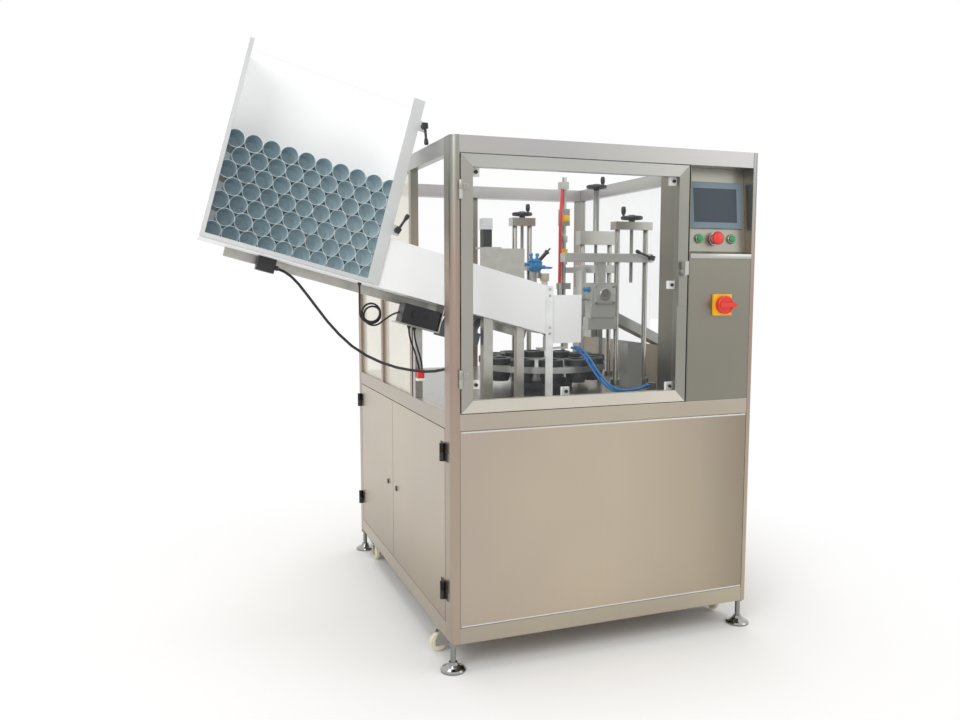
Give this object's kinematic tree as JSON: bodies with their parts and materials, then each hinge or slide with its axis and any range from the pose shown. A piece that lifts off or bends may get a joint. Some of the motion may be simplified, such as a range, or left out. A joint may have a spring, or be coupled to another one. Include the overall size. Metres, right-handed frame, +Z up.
{
  "type": "rotary tube filling machine",
  "caption": "Floor-standing rotary tube filling and sealing machine with a glazed cabinet, indexing turntable, hand-set stations, touch panel and a tilted side hopper of empty tubes.",
  "frame": {"origin": "on the floor, under the middle of the whole machine with its hopper", "axes": "+X to the right along the front, +Y from the front to the back, +Z up"},
  "size_m": [1.634, 1.2419, 1.7322],
  "materials": {
    "frame_steel": "brushed",
    "panel_steel": "brushed",
    "door_steel": "brushed",
    "clear_pane": "clear",
    "chrome": "polished",
    "white_sheet": "satin",
    "satin_steel": "satin",
    "machined": "machined",
    "zinc": "zinc plated",
    "cream_plastic": "moulded",
    "white_plastic": "moulded",
    "green_plastic": "moulded",
    "red_plastic": "moulded",
    "yellow_plastic": "moulded",
    "black_plastic": "moulded",
    "bezel_plastic": "moulded",
    "screen_glass": "gloss",
    "grey_paint": "painted",
    "blue_grey_paint": "painted",
    "tube_plastic": "gloss",
    "cable_rubber": "matt",
    "blue_hose": "gloss",
    "red_hose": "gloss"
  },
  "bodies": {
    "machine": {"frame_posts": "frame_steel", "frame_rails": "frame_steel", "work_deck": "satin_steel", "front_panel": "panel_steel", "body_panels": "panel_steel", "upper_panes": "clear_pane", "column_shell": "frame_steel", "operator_panel": "frame_steel", "touch_bezel": "bezel_plastic", "touch_screen": "screen_glass", "switch_plate": "yellow_plastic", "hinge_posts": "satin_steel", "levelling_feet": "chrome", "castor_brackets": "zinc", "index_drive": "grey_paint", "gear_motor": "blue_grey_paint", "station_stands": "satin_steel", "hopper_box": "white_sheet", "hopper_pane": "clear_pane", "chute": "white_sheet", "chute_supports": "satin_steel", "feeder_drive": "grey_paint", "feed_controls": "grey_paint", "tube_charge": "tube_plastic", "valve_stand": "satin_steel", "outlet_trays": "satin_steel", "hopper_cable": "cable_rubber", "air_hose": "blue_hose", "product_hose": "red_hose"},
    "front_door": {"front_door_frame": "frame_steel", "front_door_pane": "clear_pane", "pane_clips": "white_plastic"},
    "latch": {"door_latch": "black_plastic"},
    "door_front": {"lower_door_front": "door_steel"},
    "door_rear": {"lower_door_rear": "door_steel"},
    "start": {"start_button": "green_plastic"},
    "reset": {"reset_button": "green_plastic"},
    "estop": {"estop_button": "red_plastic"},
    "switch": {"switch_knob": "red_plastic"},
    "fork_left": {"castor_fork_left": "zinc"},
    "fork_right": {"castor_fork_right": "zinc"},
    "wheel_fl": {"castor_wheel_front_left": "cream_plastic"},
    "wheel_fr": {"castor_wheel_front_right": "cream_plastic"},
    "wheel_rl": {"castor_wheel_rear_left": "cream_plastic"},
    "wheel_rr": {"castor_wheel_rear_right": "cream_plastic"},
    "table": {"turntable": "machined", "tube_cups": "black_plastic"},
    "drive": {"drive_coupling": "machined"},
    "wheel_press": {"handwheel_press": "black_plastic"},
    "wheel_heat": {"handwheel_heat": "black_plastic"},
    "wheel_crimp": {"handwheel_crimp": "black_plastic"},
    "press": {"carriage_press": "machined"},
    "heat": {"carriage_heat": "machined"},
    "crimp": {"carriage_crimp": "machined"},
    "jaw_l": {"jaw_left": "satin_steel"},
    "jaw_r": {"jaw_right": "satin_steel"},
    "cradle": {"loader_cradle": "satin_steel"},
    "lever_up": {"hopper_lever_upper": "black_plastic"},
    "lever_low": {"hopper_lever_lower": "black_plastic"},
    "lever_arm": {"arm_lever": "black_plastic"}
  },
  "joints": [
    {"name": "front_door_swing", "type": "hinge", "parent": "machine", "child": "front_door", "pos_m": [-0.166, -0.5915, 1.08], "axis": [0, 0, 1], "range_deg": [-110, 0]},
    {"name": "latch_turn", "type": "hinge", "parent": "front_door", "child": "latch", "pos_m": [0.527, -0.585, 1.118], "axis": [0, 1, 0], "range_deg": [0, 90]},
    {"name": "door_front_swing", "type": "hinge", "parent": "machine", "child": "door_front", "pos_m": [-0.1995, -0.526, 0.408], "axis": [0, 0, 1], "range_deg": [0, 110]},
    {"name": "door_rear_swing", "type": "hinge", "parent": "machine", "child": "door_rear", "pos_m": [-0.1995, 0.556, 0.408], "axis": [0, 0, 1], "range_deg": [-110, 0]},
    {"name": "start_press", "type": "slide", "parent": "machine", "child": "start", "axis": [0, 0.9962, -0.0872], "range_m": [0, 0.004], "stiffness_N_per_m": 400},
    {"name": "reset_press", "type": "slide", "parent": "machine", "child": "reset", "axis": [0, 0.9962, -0.0872], "range_m": [0, 0.004], "stiffness_N_per_m": 400},
    {"name": "estop_press", "type": "slide", "parent": "machine", "child": "estop", "axis": [0, 0.9962, -0.0872], "range_m": [0, 0.004]},
    {"name": "switch_turn", "type": "hinge", "parent": "machine", "child": "switch", "pos_m": [0.665, -0.585, 1.02], "axis": [0, 1, 0], "range_deg": [0, 90]},
    {"name": "fork_left_swivel", "type": "hinge", "parent": "machine", "child": "fork_left", "pos_m": [-0.166, -0.425, 0.08], "axis": [0, 0, 1], "continuous": true},
    {"name": "fork_right_swivel", "type": "hinge", "parent": "machine", "child": "fork_right", "pos_m": [0.768, -0.425, 0.08], "axis": [0, 0, 1], "continuous": true},
    {"name": "wheel_fl_spin", "type": "hinge", "parent": "fork_left", "child": "wheel_fl", "pos_m": [-0.182, -0.425, 0.031], "axis": [0, 1, 0], "continuous": true},
    {"name": "wheel_fr_spin", "type": "hinge", "parent": "fork_right", "child": "wheel_fr", "pos_m": [0.768, -0.441, 0.031], "axis": [1, 0, 0], "continuous": true},
    {"name": "wheel_rl_spin", "type": "hinge", "parent": "machine", "child": "wheel_rl", "pos_m": [-0.166, 0.439, 0.031], "axis": [1, 0, 0], "continuous": true},
    {"name": "wheel_rr_spin", "type": "hinge", "parent": "machine", "child": "wheel_rr", "pos_m": [0.768, 0.439, 0.031], "axis": [1, 0, 0], "continuous": true},
    {"name": "table_index", "type": "hinge", "parent": "machine", "child": "table", "pos_m": [0.301, -0.085, 0.796], "axis": [0, 0, 1], "continuous": true},
    {"name": "drive_spin", "type": "hinge", "parent": "machine", "child": "drive", "pos_m": [0.301, 0.025, 0.64], "axis": [0, 1, 0], "continuous": true},
    {"name": "wheel_press_turn", "type": "hinge", "parent": "machine", "child": "wheel_press", "pos_m": [0.35307, 0.215, 1.331], "axis": [0, 0, 1], "range_deg": [-2175, 2175]},
    {"name": "wheel_heat_turn", "type": "hinge", "parent": "machine", "child": "wheel_heat", "pos_m": [0.611, 0.115, 1.331], "axis": [0, 0, 1], "range_deg": [-2175, 2175]},
    {"name": "wheel_crimp_turn", "type": "hinge", "parent": "machine", "child": "wheel_crimp", "pos_m": [0.619, -0.13107, 1.331], "axis": [0, 0, 1], "range_deg": [-2175, 2175]},
    {"name": "press_lift", "type": "slide", "parent": "machine", "child": "press", "axis": [0, 0, 1], "range_m": [-0.03, 0.03]},
    {"name": "heat_lift", "type": "slide", "parent": "machine", "child": "heat", "axis": [0, 0, 1], "range_m": [-0.03, 0.03]},
    {"name": "crimp_lift", "type": "slide", "parent": "machine", "child": "crimp", "axis": [0, 0, 1], "range_m": [-0.03, 0.03]},
    {"name": "jaw_left_open", "type": "slide", "parent": "crimp", "child": "jaw_l", "axis": [-1, 0, 0], "range_m": [0, 0.012]},
    {"name": "jaw_right_open", "type": "slide", "parent": "crimp", "child": "jaw_r", "axis": [1, 0, 0], "range_m": [0, 0.012]},
    {"name": "cradle_tip", "type": "hinge", "parent": "machine", "child": "cradle", "pos_m": [0.25493, -0.28893, 0.906], "axis": [1, 0, 0], "range_deg": [-90, 0]},
    {"name": "lever_up_turn", "type": "hinge", "parent": "machine", "child": "lever_up", "pos_m": [-0.19984, -0.363, 1.5287], "axis": [0, 1, 0], "range_deg": [-60, 60]},
    {"name": "lever_low_turn", "type": "hinge", "parent": "machine", "child": "lever_low", "pos_m": [-0.28135, -0.363, 1.23479], "axis": [0, 1, 0], "range_deg": [-60, 60]},
    {"name": "lever_arm_turn", "type": "hinge", "parent": "crimp", "child": "lever_arm", "pos_m": [0.683, -0.14907, 1.17], "axis": [0, 1, 0], "range_deg": [-60, 60]}
  ],
  "couplings": [
    {"joint": "drive_spin", "follows": "table_index", "ratio": 12},
    {"joint": "wheel_press_turn", "follows": "press_lift", "rad_per_m": 1256.6},
    {"joint": "wheel_heat_turn", "follows": "heat_lift", "rad_per_m": 1256.6},
    {"joint": "wheel_crimp_turn", "follows": "crimp_lift", "rad_per_m": 1256.6},
    {"joint": "jaw_right_open", "follows": "jaw_left_open", "ratio": 1}
  ]
}
